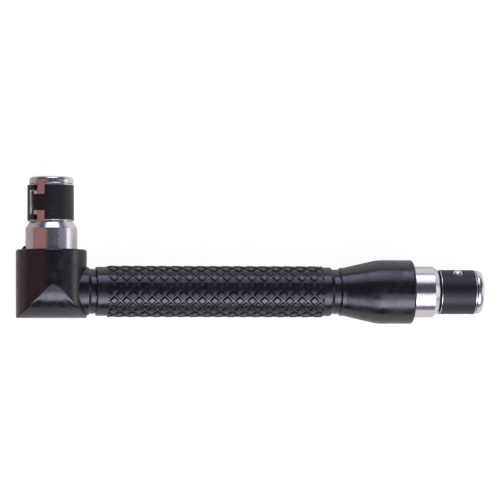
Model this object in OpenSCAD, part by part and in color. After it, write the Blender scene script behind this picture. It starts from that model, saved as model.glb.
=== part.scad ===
// Offset screwdriver with a right-angle head. A black handle of three pieces on a hexagonal
// steel rod carries a sprung holder for quarter inch hex bits at each end: one stands out of
// the hub at a right angle to the grip, the other continues the grip out of a flared bell.
// It lies on its side, as on a bench: +X runs along the grip towards the straight holder,
// +Y along the angled holder, and +Z up. All lengths are in millimetres.

/* [Bit socket] */
// Across flats of the hex bits that both holders take
bit_af = 6.35; // [5.6:0.05:6.8]
// Play across flats between a bit and its socket
bit_play = 0.12; // [0.06:0.02:0.2]
// Depth of the hexagon from the mouth
hex_depth = 12.7; // [11:0.1:13.5]
// How far the round pilot bore runs past the hexagon
pilot_extra = 1; // [0.4:0.1:1.5]
// How much narrower the pilot bore is than the hexagon's flats
pilot_step = 0.4; // [0.2:0.05:0.8]
// Width of the lead-in chamfer at the mouth, past the hexagon's corners
mouth_flare = 0.35; // [0.2:0.05:0.5]

/* [Bit holder] */
// Diameter of the holder's barrel
barrel_d = 13.2; // [12.8:0.1:13.8]
// Length of barrel that shows above the hub
angled_barrel_out = 5.4; // [4:0.05:8]
// Length of barrel that shows past the bell
straight_barrel_out = 5.5; // [4:0.05:8]
// Length of barrel sunk into the black piece that carries it
barrel_sunk = 3; // [2:0.1:3.4]
// Length of the angled holder's tapered shoulder
angled_shoulder_len = 1.65; // [1:0.05:2.4]
// Length of the straight holder's tapered shoulder
straight_shoulder_len = 1.2; // [1:0.05:2.4]
// Diameter at the small end of the shoulder
shoulder_d = 11.1; // [10.9:0.1:12]
// Length of the recess that the spring band sits in
recess_len = 9.4; // [9.2:0.1:10.5]
// Diameter of the nose ring
nose_d = 11.3; // [11:0.1:12]
// Length of the nose ring
nose_len = 2.15; // [1.6:0.05:3]
// Radius of the nose ring's outer edge
nose_round = 1.4; // [0.5:0.1:1.5]
// Across flats of the hexagonal shank below the barrel
shank_af = 8; // [7.6:0.1:8.4]
// Length of the angled holder's shank, which crosses the rod
angled_shank_len = 12; // [11:0.1:12.5]
// Length of the straight holder's shank
straight_shank_len = 8; // [7:0.1:9]

/* [Spring band] */
// Outer diameter of the band
band_d = 11.7; // [11.6:0.05:12]
// Thickness of the spring steel
band_wall = 0.5; // [0.4:0.05:0.6]
// Length of the band along the holder
band_len = 8.7; // [8:0.1:9]
// Gap between the band and the nose ring
band_nose_gap = 0.15; // [0.05:0.05:0.2]
// Clearance between the band and the floor of the recess
band_clear = 0.05; // [0.02:0.01:0.1]
// Small chamfer on the band's outer edges
band_edge = 0.12; // [0.05:0.01:0.2]
// Length along the holder of the tongue on one end of the band
tongue_len = 4.1; // [3:0.1:4.5]
// Gap beside the tongue, between it and each jaw of the notch
jaw_gap = 0.95; // [0.5:0.05:1.2]
// Angle from the ball round to the ends of the jaws, in degrees
seam_turn = 160; // [150:1:180]
// Angle from the ends of the jaws back to the floor of the notch
notch_turn = 19; // [16:1:26]
// Angle by which the tongue reaches past the ends of the jaws
tongue_turn = 5; // [3:1:10]
// Angle of the open window between the jaws' ends and the tongue's root
window_turn = 31; // [18:1:34]

/* [Ball catch] */
// Diameter of the steel ball
ball_d = 3.2; // [3:0.05:3.4]
// How much larger the ball's radius is than that of the hole in the band
ball_lap = 0.05; // [0.03:0.01:0.08]
// Running clearance round the ball
ball_clear = 0.02; // [0.01:0.01:0.05]
// Direction of the angled holder's ball, in degrees from straight up towards the grip
angled_ball_turn = 150; // [0:30:330]
// Direction of the straight holder's ball, in degrees from straight up towards the angled holder
straight_ball_turn = 60; // [0:30:330]
// Half angle of the conical seat that keeps the ball from dropping into the socket
seat_half_angle = 45; // [40:1:50]

/* [Angle head] */
// Diameter of the upright hub
hub_d = 18.1; // [17.2:0.1:20]
// Height of the hub's flat top above the grip's axis
hub_top = 10.61; // [10:0.1:13]
// Height above the grip's axis of the axis that the hub's underside is rounded about
under_lift = 2.2; // [1.8:0.1:2.6]
// How much wider the rounded underside is than the hub, which rounds the top of the crease
under_extra = 0.06; // [0.04:0.02:0.2]
// Radius of the hub's top edge
hub_round = 0.5; // [0.2:0.1:0.8]
// Diameter of the boss that points along the grip
boss_d = 12.5; // [12:0.1:13]
// Length of boss that shows past the side of the hub
boss_out = 0.3; // [0.1:0.1:2]
// Width of the small flash left on the hub's top edge of the barrel by the mould
flash_w = 1.1; // [0.6:0.1:1.4]
// Height of that flash
flash_h = 1.05; // [0.5:0.05:1.2]

/* [Grip] */
// Diameter of the smooth bands at both ends of the grip
grip_band_d = 12.6; // [12.4:0.1:13]
// Length of the band next to the head
head_band_len = 3.02; // [2:0.1:5]
// Length of the knurled stretch
knurl_len = 55.5; // [40:0.5:80]
// Length of the band next to the bell
bell_band_len = 2.15; // [1.5:0.1:5]
// Diameter of the groove between two handle pieces
neck_d = 11.5; // [11.2:0.1:11.8]
// Length of groove between the head and the grip
head_neck_len = 1.43; // [1:0.1:2.5]
// Length of groove between the grip and the bell
bell_neck_len = 1.38; // [1:0.1:2.5]
// Length of the chamfer that leads down to each groove
neck_chamfer = 0.45; // [0.3:0.05:0.6]
// Small chamfer on the edge that faces each groove
edge_chamfer = 0.22; // [0.1:0.02:0.3]

/* [Knurl] */
// Diameter over the diamonds
knurl_d = 13.2; // [13:0.05:13.6]
// Diameter at the floor of the knurl
knurl_floor_d = 12.54; // [12.3:0.02:12.58]
// Distance between diamonds along the grip
knurl_pitch = 3.215; // [2.8:0.05:4.5]
// Number of diamonds round the grip
knurl_around = 13; // [11:1:15]
// Width of the smooth channel between two diamonds, as a share of the pitch
channel_share = 0.3; // [0.25:0.01:0.4]
// Width of a diamond's flat top, as a share of the pitch
pad_top_share = 0.5; // [0.4:0.01:0.55]
// Where the first full diamond is centred, as a share of the pitch
knurl_start_share = 0.44; // [0.36:0.02:0.5]
// Turn of the pattern about the grip, in degrees
knurl_turn = 18; // [0:1:27]

/* [Bell] */
// Diameter of the bell's wide end
bell_d = 16.5; // [16:0.1:18]
// Diameter of the bell's small end
bell_small_d = 12.15; // [12:0.1:13]
// Overall length of the bell
bell_len = 19.65; // [17:0.05:20]
// Length of the narrow land at the small end
bell_land = 0.8; // [0.4:0.1:1.5]
// Length of the flare
bell_flare_len = 9.6; // [7:0.1:11]
// Radius of the rim at the wide end
bell_round = 0.6; // [0.3:0.1:0.9]

/* [Rod and spigots] */
// Across flats of the steel rod inside the handle
rod_af = 5; // [4.5:0.1:5.4]
// Diameter of the rod's round tip, which locks the angled holder
rod_tip_d = 4.5; // [4:0.1:4.8]
// Length of rod inside the straight holder's shank
rod_hold_len = 6.5; // [5:0.1:7]
// Chamfer on the ends of the rod and of the spigots
end_chamfer = 0.4; // [0.2:0.05:0.5]
// Diameter of the spigots that join the handle pieces
spigot_d = 9.4; // [9:0.1:9.8]
// Length of the spigots
spigot_len = 5.5; // [4:0.1:6]
// Clearance on each side of a fitted joint
fit_clear = 0.03; // [0.02:0.01:0.06]
// Gap left at the bottom of a blind socket
bottom_gap = 0.3; // [0.2:0.05:0.5]

/* [Hidden] */
$fn = 96;
// Overrun of every cutting tool past the face that it cuts
overrun = 0.5;
// Steps in a rounded edge
round_steps = 6;
// Depth to which the knurl's sleeve is rooted in the grip, and to which the grip fills it
knurl_root_d = 11.6;
knurl_fill_d = 12;
// How far the knurl's floor runs under the bands, and how far its diamonds stop short of them
knurl_tuck = 0.1;
knurl_gap = 0.02;
// How deep the flash is rooted in the hub, and how thick it is
flash_root = 0.4;
flash_wall = 0.45;
// Direction of the flash round the hub, in degrees from the line away from the grip
flash_turn = -8;

black = [0.13, 0.13, 0.14];
chrome = [0.78, 0.78, 0.8];
steel = [0.55, 0.56, 0.58];
spring_black = [0.18, 0.18, 0.2];

// Bit socket
socket_af = bit_af + bit_play;
socket_corner_r = socket_af / 2 / cos(30);
pilot_r = (socket_af - pilot_step) / 2;

// Holder, measured from the face of the black piece that carries it. The angled one is the first
// in each list and the straight one the second.
angled = 0;
straight = 1;
barrel_outs = [angled_barrel_out, straight_barrel_out];
shoulder_lens = [angled_shoulder_len, straight_shoulder_len];
recess_r = band_d / 2 - band_wall - band_clear;
function shoulder_z(which) = barrel_outs[which] + shoulder_lens[which];
function nose_z(which) = shoulder_z(which) + recess_len;
function tip_z(which) = nose_z(which) + nose_len;
function band_z(which) = nose_z(which) - band_nose_gap - band_len;
function ball_z(which) = band_z(which) + band_len / 2;

// Ball, which rests against the edge of the hole in the band
ball_r = ball_d / 2;
band_hole_r = ball_r - ball_lap;
band_in_r = band_d / 2 - band_wall;
hole_edge_r = sqrt(pow(band_in_r, 2) - pow(band_hole_r, 2));
ball_at = hole_edge_r - sqrt(pow(ball_r, 2) - pow(band_hole_r, 2)) - ball_clear;

// Stations along the grip, from the hub's axis
boss_x = hub_d / 2 + boss_out;
grip_x = boss_x + neck_chamfer + head_neck_len;
knurl_x = grip_x + head_band_len;
bell_band_x = knurl_x + knurl_len;
bell_neck_x = bell_band_x + bell_band_len;
bell_x = bell_neck_x + neck_chamfer + bell_neck_len;
bell_end = bell_x + bell_len;
straight_tip = bell_end + tip_z(straight);
angled_tip = hub_top + tip_z(angled);
straight_shank_end = bell_end - barrel_sunk - straight_shank_len;
rod_start = shank_af / 2 + fit_clear;
rod_end = straight_shank_end + rod_hold_len;
under_r = hub_d / 2 + under_extra / 2;

// The part's own frame: the middle of its outline, with its lowest point at zero
low_y = -max(bell_d / 2, under_r - under_lift);
shift = [(hub_d / 2 - straight_tip) / 2, -(angled_tip + low_y) / 2, max(hub_d, bell_d) / 2];

// Moves a piece from the hub's axis and the grip's axis to the part's own frame
module seated() {
    translate(shift) children();
}

// Turns an upright piece so that it points along the grip
module along_grip() {
    rotate([0, 90, 0]) children();
}

// Stands a holder's piece in the hub, with its ball where the hub's holder has it
module on_hub() {
    seated() translate([0, hub_top, 0]) rotate([-90, 0, 0]) children();
}

// Stands a holder's piece in the bell
module on_bell() {
    seated() translate([bell_end, 0, 0]) along_grip() children();
}

// Turns from a holder's own directions to its ball's
angled_turn = angled_ball_turn - 90;
straight_turn = 180 - straight_ball_turn;

// Points of a rounded outer corner, from its side to its top
function round_points(r, top, radius) = [
    for (i = [0 : round_steps])
        let (a = 90 * i / round_steps)
        [r - radius + radius * cos(a), top - radius + radius * sin(a)]
];

// A hexagonal prism with flats towards plus and minus X
module hex_bar(af, len) {
    rotate([0, 0, 30]) cylinder(h = len, r = af / 2 / cos(30), $fn = 6);
}

// Outline of a holder's turned body
function holder_outline(which) = concat(
    [
        [0, -barrel_sunk],
        [barrel_d / 2 - end_chamfer, -barrel_sunk],
        [barrel_d / 2, end_chamfer - barrel_sunk],
        [barrel_d / 2, barrel_outs[which]],
        [shoulder_d / 2, shoulder_z(which)],
        [recess_r, shoulder_z(which)],
        [recess_r, nose_z(which)],
        [nose_d / 2, nose_z(which)]
    ],
    round_points(nose_d / 2, tip_z(which), nose_round),
    [[0, tip_z(which)]]
);

// Outline of the ball's seat, along the line from the holder's axis to the ball
seat_r = ball_r + ball_clear;
seat_apex = seat_r / sin(seat_half_angle);
seat_join = seat_apex - seat_r / tan(seat_half_angle);
seat_top = recess_r - ball_at + overrun;
seat_outline = [[0, -seat_apex], [seat_r, -seat_join], [seat_r, seat_top], [0, seat_top]];

// The hexagon, its pilot bore with a drill's conical end, and the lead-in at the mouth
module bit_socket(which) {
    tip = tip_z(which);
    flare_r = socket_corner_r + mouth_flare;
    pilot_z = tip - hex_depth - pilot_extra;
    translate([0, 0, tip - hex_depth])
        cylinder(h = hex_depth + overrun, r = socket_corner_r, $fn = 6);
    rotate_extrude() polygon([
        [0, pilot_z - pilot_r * tan(30)], [pilot_r, pilot_z], [pilot_r, tip], [0, tip]
    ]);
    rotate_extrude() polygon([
        [0, tip - flare_r], [flare_r, tip], [flare_r + overrun, tip + overrun], [0, tip + overrun]
    ]);
}

// Body of a holder: barrel, shoulder, recess, nose ring and hexagonal shank
module holder_body(which, shank_len, ball_turn) {
    difference() {
        union() {
            rotate_extrude() polygon(holder_outline(which));
            translate([0, 0, -barrel_sunk - shank_len]) hex_bar(shank_af, shank_len + overrun);
        }
        rotate([0, 0, ball_turn]) {
            bit_socket(which);
            translate([ball_at, 0, ball_z(which)]) along_grip() rotate_extrude() polygon(seat_outline);
        }
    }
}

// Outline of the gap between the band's ends, laid flat: across the window on both sides of the
// tongue, and round the tongue inside the notch
gap_middle = seam_turn + (window_turn - notch_turn) / 2;
function gap_at(turn) = (band_d - band_wall) / 2 * sin(turn - gap_middle);
gap_outline =
    let (
        root = gap_at(seam_turn + window_turn),
        jaw = gap_at(seam_turn),
        tip = gap_at(seam_turn - tongue_turn),
        floor_at = gap_at(seam_turn - notch_turn),
        half = tongue_len / 2,
        notch = half + jaw_gap,
        past = band_len / 2 + overrun
    )
    [
        [root, -past], [root, -half], [tip, -half], [tip, half], [root, half], [root, past],
        [jaw, past], [jaw, notch], [floor_at, notch], [floor_at, -notch], [jaw, -notch], [jaw, -past]
    ];

// Split spring band: the tongue on one end reaches into the notch in the other
module spring_band(which) {
    low = band_z(which);
    color(spring_black) difference() {
        rotate([0, 0, seam_turn / 2]) rotate_extrude() polygon([
            [band_in_r, low], [band_d / 2 - band_edge, low], [band_d / 2, low + band_edge],
            [band_d / 2, low + band_len - band_edge], [band_d / 2 - band_edge, low + band_len],
            [band_in_r, low + band_len]
        ]);
        rotate([0, 0, gap_middle]) translate([band_d / 4, 0, ball_z(which)]) rotate([90, 0, 90])
            linear_extrude(band_d / 2) polygon(gap_outline);
        translate([0, 0, ball_z(which)]) along_grip() cylinder(h = band_d, r = band_hole_r);
    }
}

// Ball that the band presses into the socket
module catch_ball(which) {
    color(chrome) translate([ball_at, 0, ball_z(which)]) sphere(d = ball_d, $fn = 48);
}

// Upright hub whose lower end is rounded about a line along the grip
module hub() {
    height = hub_top - under_lift;
    intersection() {
        translate([0, hub_top, 0]) rotate([-90, 0, 0]) rotate_extrude() polygon(concat(
            [[0, -height - hub_d], [hub_d / 2, -height - hub_d]],
            round_points(hub_d / 2, 0, hub_round),
            [[0, 0]]
        ));
        union() {
            translate([-hub_d, under_lift, -hub_d]) cube([2 * hub_d, height + overrun, 2 * hub_d]);
            translate([-hub_d, under_lift, 0]) along_grip() cylinder(h = 2 * hub_d, r = under_r);
        }
    }
}

// Outline of the boss, groove and spigot that follow one another along a handle piece's end
function plug_outline(from, chamfer_x, big_r, face_x) = [
    [0, from],
    [big_r, from],
    [big_r, chamfer_x],
    [neck_d / 2, chamfer_x + neck_chamfer],
    [neck_d / 2, face_x],
    [spigot_d / 2, face_x],
    [spigot_d / 2, face_x + spigot_len - end_chamfer],
    [spigot_d / 2 - end_chamfer, face_x + spigot_len],
    [0, face_x + spigot_len]
];

// The flash that the mould left beside the barrel, a thin pointed flake
module flash() {
    rotate([0, 0, 180 + flash_turn]) translate([barrel_d / 2 + fit_clear, flash_wall / 2, 0])
        rotate([90, 0, 0]) linear_extrude(flash_wall) polygon([
            [0, -flash_root], [flash_w, -flash_root], [flash_w, 0], [flash_w / 4, flash_h], [0, flash_h]
        ]);
}

// Black head at the angled end, with its boss and spigot
module angle_head() {
    color(black) difference() {
        union() {
            seated() hub();
            seated() along_grip() rotate_extrude() polygon(plug_outline(0, boss_x, boss_d / 2, grip_x));
            on_hub() flash();
        }
        on_hub() translate([0, 0, -barrel_sunk])
            cylinder(h = barrel_sunk + overrun, r = barrel_d / 2 + fit_clear);
        on_hub() translate([0, 0, -barrel_sunk - angled_shank_len - bottom_gap])
            hex_bar(shank_af + 2 * fit_clear, angled_shank_len + bottom_gap + overrun);
        seated() along_grip() hex_bar(rod_af + 2 * fit_clear, grip_x + spigot_len + overrun);
    }
}

// Diamonds and channels of the knurl. Columns stand half a pitch apart along the grip, and rows
// half a diamond apart round it. Where a column has a diamond, the next has a channel crossing.
column_step = knurl_pitch / 2;
row_turn = 180 / knurl_around;
first_at = 2 * knurl_start_share - 1;
from_column = knurl_gap / column_step - first_at;
to_column = (knurl_len - knurl_gap) / column_step - first_at;
last_column = floor(to_column + pad_top_share - 0.1);
cell_points = 8;

// Distance of a column from the start of the knurl
function column_x(column) = (first_at + column) * column_step;

// A point of the knurl at a distance along it, a row and a diameter
function knurl_point(x, row, d) =
    let (a = knurl_turn + row * row_turn)
    [x, d / 2 * sin(a), d / 2 * cos(a)];

// A crossing of two channels. Those of the end columns lie just under the smooth bands.
function crossing_x(column) =
    column <= 0 ? -knurl_tuck : column >= last_column ? knurl_len + knurl_tuck : column_x(column);

// Holds a column between the two ends of the knurl, where diamonds are cut off flat
function held(column) = min(max(column, from_column), to_column);

// Corners of one diamond at a share of its cell, in order round it, starting nearest the head
function diamond(column, row, share, d) =
    let (side = held(column), wide = share - abs(side - column))
    [
        knurl_point(column_x(held(column - share)), row, d),
        knurl_point(column_x(side), row + wide, d),
        knurl_point(column_x(held(column + share)), row, d),
        knurl_point(column_x(side), row - wide, d)
    ];

// Numbers of the points: the crossings first, then each diamond's eight, then the sleeve's inside
crossing_count = (last_column + 3) * knurl_around;
root_first = crossing_count + (last_column + 1) * knurl_around * cell_points;
function around(k) = (k + knurl_around) % knurl_around;
function crossing(column, k) = (column + 1) * knurl_around + around(k);
function cell_first(column, k) = crossing_count + (column * knurl_around + k) * cell_points;

// Row of a diamond, and of a crossing, which takes the rows between a column's diamonds
function cell_row(column, k) = 2 * k + column % 2;
function crossing_row(column, k) = 2 * k + 1 - abs(column % 2);

// The four crossings round a diamond, in the same order as its corners
function cell_crossings(column, k) =
    let (odd = column % 2)
    [crossing(column - 1, k), crossing(column, k + odd), crossing(column + 1, k), crossing(column, k + odd - 1)];

// Two triangles that fill four corners
function two_faces(a, b, c, d) = [[a, c, b], [a, d, c]];

// Triangles of one cell: channel floor, the diamond's sloping sides and its top
function cell_faces(column, k) =
    let (outer = cell_crossings(column, k), first = cell_first(column, k), top = first + 4)
    concat(
        [
            for (i = [0 : 3])
                let (n = (i + 1) % 4)
                each concat(
                    two_faces(outer[n], outer[i], first + i, first + n),
                    two_faces(first + n, first + i, top + i, top + n)
                )
        ],
        [[top + 1, top + 2, top], [top + 3, top, top + 2]]
    );

knurl_points = concat(
    [
        for (c = [-1 : last_column + 1], k = [0 : knurl_around - 1])
            knurl_point(crossing_x(c), crossing_row(c, k), knurl_floor_d)
    ],
    [
        for (c = [0 : last_column], k = [0 : knurl_around - 1])
            each concat(
                diamond(c, cell_row(c, k), 1 - channel_share, knurl_floor_d),
                diamond(c, cell_row(c, k), pad_top_share, knurl_d)
            )
    ],
    [
        for (c = [-1, last_column], row = [0 : 2 * knurl_around - 1])
            knurl_point(crossing_x(c), row, knurl_root_d)
    ]
);

// Number of the crossing at a row of either end, whose rows are shared by its two last columns
function near_crossing(row) =
    row % 2 == 0 ? crossing(-1, row / 2) : crossing(0, (row - 1) / 2);
function far_crossing(row) =
    let (column = (row + last_column) % 2 == 0 ? last_column + 1 : last_column)
    crossing(column, (row - crossing_row(column, 0)) / 2);

// Faces that close the sleeve: a ring at each end and the wall between them
function closing_faces(row) =
    let (
        n = (row + 1) % (2 * knurl_around),
        near = root_first,
        far = root_first + 2 * knurl_around
    )
    concat(
        two_faces(near_crossing(row), near_crossing(n), near + n, near + row),
        two_faces(far_crossing(n), far_crossing(row), far + row, far + n),
        two_faces(near + row, near + n, far + n, far + row)
    );

module knurl() {
    translate([knurl_x, 0, 0]) polyhedron(
        points = knurl_points,
        faces = concat(
            [for (c = [0 : last_column], k = [0 : knurl_around - 1]) each cell_faces(c, k)],
            [for (row = [0 : 2 * knurl_around - 1]) each closing_faces(row)]
        )
    );
}

// Grip: a smooth core with a band at each end, groove and spigot, and the knurl round it
module grip() {
    band_r = grip_band_d / 2;
    color(black) seated() union() {
        difference() {
            along_grip() rotate_extrude() polygon(concat(
                [
                    [0, grip_x],
                    [band_r - edge_chamfer, grip_x],
                    [band_r, grip_x + edge_chamfer],
                    [band_r, knurl_x],
                    [knurl_fill_d / 2, knurl_x],
                    [knurl_fill_d / 2, bell_band_x]
                ],
                [for (p = plug_outline(bell_band_x, bell_neck_x, band_r, bell_x)) if (p[0] > 0) p],
                [[0, bell_x + spigot_len]]
            ));
            translate([grip_x - overrun, 0, 0]) along_grip()
                cylinder(h = overrun + spigot_len + bottom_gap, r = spigot_d / 2 + fit_clear);
            along_grip() hex_bar(rod_af + 2 * fit_clear, bell_x + spigot_len + overrun);
        }
        knurl();
    }
}

// Flared bell that takes the grip's spigot at one end and the straight holder at the other
module end_bell() {
    color(black) seated() difference() {
        along_grip() rotate_extrude() polygon(concat(
            [
                [0, bell_x],
                [bell_small_d / 2 - edge_chamfer, bell_x],
                [bell_small_d / 2, bell_x + edge_chamfer],
                [bell_small_d / 2, bell_x + bell_land],
                [bell_d / 2, bell_x + bell_land + bell_flare_len]
            ],
            round_points(bell_d / 2, bell_end, bell_round),
            [[0, bell_end]]
        ));
        translate([bell_x - overrun, 0, 0]) along_grip()
            cylinder(h = overrun + spigot_len + bottom_gap, r = spigot_d / 2 + fit_clear);
        along_grip() hex_bar(rod_af + 2 * fit_clear, bell_end);
        translate([straight_shank_end - fit_clear, 0, 0]) along_grip()
            hex_bar(shank_af + 2 * fit_clear, bell_len);
        translate([bell_end - barrel_sunk, 0, 0]) along_grip()
            cylinder(h = barrel_sunk + overrun, r = barrel_d / 2 + fit_clear);
    }
}

// Hexagonal rod that carries the torque through the handle
module core_rod() {
    tip_len = shank_af - bottom_gap;
    corner_r = rod_af / 2 / cos(30);
    color(steel) seated() {
        intersection() {
            translate([rod_start, 0, 0]) along_grip() hex_bar(rod_af, rod_end - rod_start);
            along_grip() rotate_extrude() polygon([
                [0, 0], [corner_r + end_chamfer, 0], [corner_r + end_chamfer, rod_end - 2 * end_chamfer],
                [corner_r - end_chamfer, rod_end], [0, rod_end]
            ]);
        }
        translate([rod_start - tip_len, 0, 0]) along_grip()
            cylinder(h = tip_len + end_chamfer, d = rod_tip_d);
    }
}

module angled_holder() {
    color(chrome) difference() {
        on_hub() holder_body(angled, angled_shank_len, angled_turn);
        seated() translate([-shank_af, 0, 0]) along_grip()
            cylinder(h = 2 * shank_af, r = rod_tip_d / 2 + fit_clear);
    }
}

module angled_band() {
    on_hub() rotate([0, 0, angled_turn]) spring_band(angled);
}

module angled_ball() {
    on_hub() rotate([0, 0, angled_turn]) catch_ball(angled);
}

module straight_holder() {
    color(chrome) difference() {
        on_bell() holder_body(straight, straight_shank_len, straight_turn);
        seated() translate([straight_shank_end - overrun, 0, 0]) along_grip()
            hex_bar(rod_af + 2 * fit_clear, overrun + rod_hold_len + bottom_gap);
    }
}

module straight_band() {
    on_bell() rotate([0, 0, straight_turn]) spring_band(straight);
}

module straight_ball() {
    on_bell() rotate([0, 0, straight_turn]) catch_ball(straight);
}

angle_head();
grip();
end_bell();
core_rod();
angled_holder();
angled_band();
angled_ball();
straight_holder();
straight_band();
straight_ball();
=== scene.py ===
"""Looks of the offset screwdriver: the black handle with its diamond knurl, and a chromed
spring-catch bit holder at each end. It lies on its side, seen from straight above."""

import math

import bmesh
import bpy
import numpy as np
from bpy.props import FloatProperty, FloatVectorProperty, IntProperty, PointerProperty
from mathutils import Matrix, Vector


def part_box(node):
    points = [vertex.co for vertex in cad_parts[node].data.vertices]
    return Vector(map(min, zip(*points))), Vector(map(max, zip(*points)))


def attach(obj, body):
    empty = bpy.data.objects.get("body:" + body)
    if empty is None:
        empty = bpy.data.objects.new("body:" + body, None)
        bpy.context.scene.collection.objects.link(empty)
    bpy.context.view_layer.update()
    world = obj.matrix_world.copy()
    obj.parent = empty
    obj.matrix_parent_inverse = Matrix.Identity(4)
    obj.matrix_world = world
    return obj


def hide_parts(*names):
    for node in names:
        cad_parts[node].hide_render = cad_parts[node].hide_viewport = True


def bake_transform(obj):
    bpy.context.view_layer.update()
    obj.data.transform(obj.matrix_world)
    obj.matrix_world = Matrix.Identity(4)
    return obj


bl_info = {
    "name": "Offset Screwdriver",
    "version": (1, 0, 0),
    "blender": (4, 5, 0),
    "location": "View3D > Sidebar > Driver",
    "description": "Builds the black knurled handle and the two sprung bit holders",
    "category": "Object",
}

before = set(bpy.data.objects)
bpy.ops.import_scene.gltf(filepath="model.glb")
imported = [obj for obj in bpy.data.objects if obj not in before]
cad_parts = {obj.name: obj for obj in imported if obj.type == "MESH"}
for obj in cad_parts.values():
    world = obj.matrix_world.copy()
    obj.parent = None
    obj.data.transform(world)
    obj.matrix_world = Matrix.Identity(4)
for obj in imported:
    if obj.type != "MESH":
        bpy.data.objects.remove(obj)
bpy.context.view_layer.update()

MM = 0.001
TURN_COLUMNS = 192  # columns round a turned piece, a multiple of six for the hexagons
COLUMN_TURNS = np.arange(TURN_COLUMNS) * 2 * math.pi / TURN_COLUMNS
FILLET_STEPS = 5
WALL_ROWS, CREASE_ROWS, UNDERSIDE_ROWS = 8, 7, 14  # of points, on the hub
SHARP_ANGLE = math.radians(32)
BAND_SHARP_ANGLE = math.radians(50)
CUT_ANGLE = math.radians(60)  # between the faces at the edges of a cut strip
WELD_DISTANCE = 0.002 * MM  # points closer together than this become one
TOUCH = 0.02 * MM  # two surfaces closer than this count as one

# Fits that are hidden inside the handle, with the sizes of the CAD solids
POCKET_FIT = 0.03 * MM  # clearance between a holder's barrel and its pocket
POCKET_EDGE = 0.1 * MM
ROD_BORE = 2.95 * MM  # radius
SPIGOT, SPIGOT_LENGTH = 4.7 * MM, 5.5 * MM
SPIGOT_SOCKET, SPIGOT_SOCKET_DEPTH = 4.73 * MM, 5.8 * MM
SHANK_POCKET, SHANK_POCKET_DEPTH = 4.65 * MM, 8.1 * MM
SHANK_LENGTHS = {"angled": 12 * MM, "straight": 8 * MM}
BOSS_ROOT = 5 * MM  # distance from the hub's axis, inside the hub
KNURL_CORE = 6 * MM  # radius of the grip under the sleeve of diamonds
SEAT_ANGLE = math.radians(45)  # half angle of the conical seat that keeps a ball in its hole
SEAT_FIT = 0.04 * MM
DRILL_END = 7 * MM  # outside every holder

# Small edges of the turned pieces
GROOVE_EDGE = 0.6 * MM
RELIEF_EDGE = 0.05 * MM
SLEEVE_EDGE = 0.06 * MM
BARREL_CHAMFER = 0.4 * MM
BAND_EDGE = 0.07 * MM

# Where the band's split has its parts, in degrees round the holder from the ball: the notch's
# floor, the tongue's tip, the ends of the two jaws, and the root of the window under the tongue
NOTCH_FLOOR, TONGUE_TIP, JAW_END, WINDOW_ROOT = 145, 154.5, 160, 191
BURR_WIDTH = 6  # degrees on each side of the notch's floor
HOLE_PATCH = 2.3 * MM  # half the width of the square that holds the ball's hole
BAND_TURN_STEP, BAND_LEVEL_STEP = 3, 0.4 * MM  # degrees and length of the band's faces


def middle(node, axis):
    """Middle of a CAD node's box along an axis, in metres."""
    low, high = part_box(node)
    return (low[axis] + high[axis]) / 2


# Where the hub's upright axis crosses the grip's axis
CROSSING = Vector((
    middle("angled_holder", 0), middle("straight_holder", 1), middle("straight_holder", 2),
))
ALONG_GRIP = Matrix(((0, 0, 1), (0, 1, 0), (-1, 0, 0))).to_4x4()
UP_HUB = Matrix(((1, 0, 0), (0, 0, 1), (0, -1, 0))).to_4x4()
ON_GRIP = Matrix.Translation(CROSSING) @ ALONG_GRIP
ON_HUB = Matrix.Translation(CROSSING) @ UP_HUB


def length(name, default, description):
    return FloatProperty(name=name, default=default * MM, min=0, subtype="DISTANCE", unit="LENGTH",
                         precision=5, description=description)


def colour(name, default, description):
    return FloatVectorProperty(name=name, default=linear(default)[:3], min=0, max=1,
                               subtype="COLOR", description=description)


def linear(code):
    """A sRGB hex colour as linear red, green, blue and alpha."""
    parts = [int(code[i:i + 2], 16) / 255 for i in (1, 3, 5)]
    parts = [c / 12.92 if c <= 0.04045 else ((c + 0.055) / 1.055) ** 2.4 for c in parts]
    return (*parts, 1.0)


# ---- sizes and colours that a user would change ----

class DriverHeadSizes(bpy.types.PropertyGroup):
    hub_radius: length("Hub radius", 9.05, "Radius of the upright hub")
    hub_top: length("Hub top", 10.61, "Height of the hub's top above the grip's axis")
    hub_round: length("Hub edge", 0.5, "Rounding of the hub's top edge")
    under_radius: length("Underside radius", 9.08, "Radius that the hub's underside is rounded to")
    under_lift: length("Underside lift", 2.2,
                       "Height of the underside's axis above the grip's axis")
    crease: length("Crease", 0.35,
                   "Softness of the crease between the hub's wall and its underside")
    boss_radius: length("Boss radius", 6.25, "Radius of the boss that points along the grip")
    boss_end: length("Boss end", 9.35, "Distance from the hub's axis to the end of the boss")


class DriverGripSizes(bpy.types.PropertyGroup):
    start: length("Grip start", 11.23, "Distance from the hub's axis to the grip")
    band_radius: length("Band radius", 6.3, "Radius of the smooth bands")
    knurl_start: length("Knurl start", 14.25, "Distance from the hub's axis to the knurl")
    knurl_end: length("Knurl end", 69.75,
                      "Distance from the hub's axis to the far end of the knurl")
    band_end: length("Band end", 71.9, "Distance from the hub's axis to the end of the far band")
    neck_radius: length("Groove radius", 5.75, "Radius at the bottom of the two grooves")
    chamfer: length("Groove chamfer", 0.45, "Length of the chamfer beside each groove")
    relief: length("Relief", 0.3, "Length of the relief cut at the end of each groove")
    relief_depth: length("Relief depth", 0.45, "Depth of the relief cut below the groove")
    pad_radius: length("Diamond radius", 6.6, "Radius over the diamonds")
    floor_radius: length("Channel radius", 6.27, "Radius at the floor of the channels")
    pitch: length("Pitch", 3.215, "Distance between diamonds along the grip")
    first_diamond: length("First diamond", 1.4146,
                          "Distance from the knurl's start to the first full diamond")
    diamonds_round: IntProperty(name="Diamonds round", default=13, min=6, max=40,
                                description="Number of diamonds round the grip")
    turn: FloatProperty(name="Turn", default=math.radians(18), subtype="ANGLE",
                        description="Turn of the pattern about the grip")


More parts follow.
